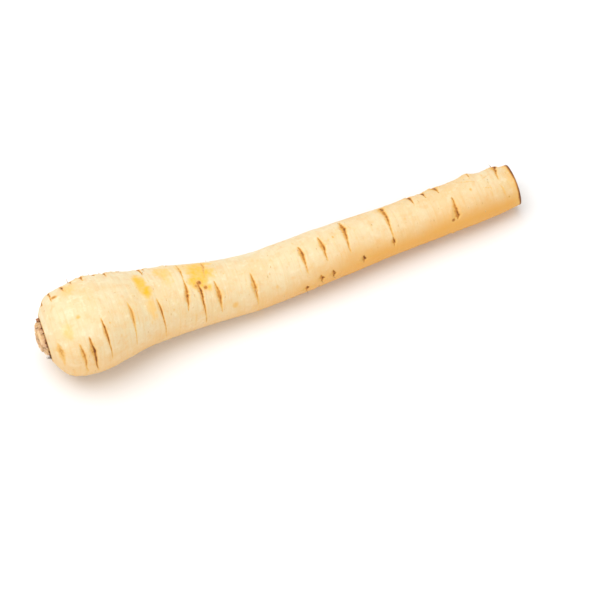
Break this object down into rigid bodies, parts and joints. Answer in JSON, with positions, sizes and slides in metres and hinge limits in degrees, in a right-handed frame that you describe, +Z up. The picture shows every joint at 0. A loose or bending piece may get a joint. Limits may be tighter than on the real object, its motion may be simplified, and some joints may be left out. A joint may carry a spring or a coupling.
{
  "type": "parsnip",
  "caption": "Long tapered parsnip root with a trimmed tail, a hollowed crown and the dried stump of its leaf shoot, lying on its side.",
  "frame": {"origin": "on the surface that the root lies on, under the middle of its bounding box", "axes": "+X along the root from its crown to its trimmed tail, +Z up"},
  "size_m": [0.24, 0.0442, 0.0432],
  "materials": {
    "root_skin": "satin",
    "stem_stump": "matte",
    "dried_leaf_base": "matte"
  },
  "bodies": {
    "root": {"taproot": "root_skin", "stem_stump": "stem_stump", "leaf_base_1": "dried_leaf_base", "leaf_base_2": "dried_leaf_base", "leaf_base_3": "dried_leaf_base", "leaf_base_4": "dried_leaf_base", "leaf_base_5": "dried_leaf_base", "leaf_base_6": "dried_leaf_base", "leaf_base_7": "dried_leaf_base", "leaf_base_8": "dried_leaf_base"}
  },
  "joints": []
}
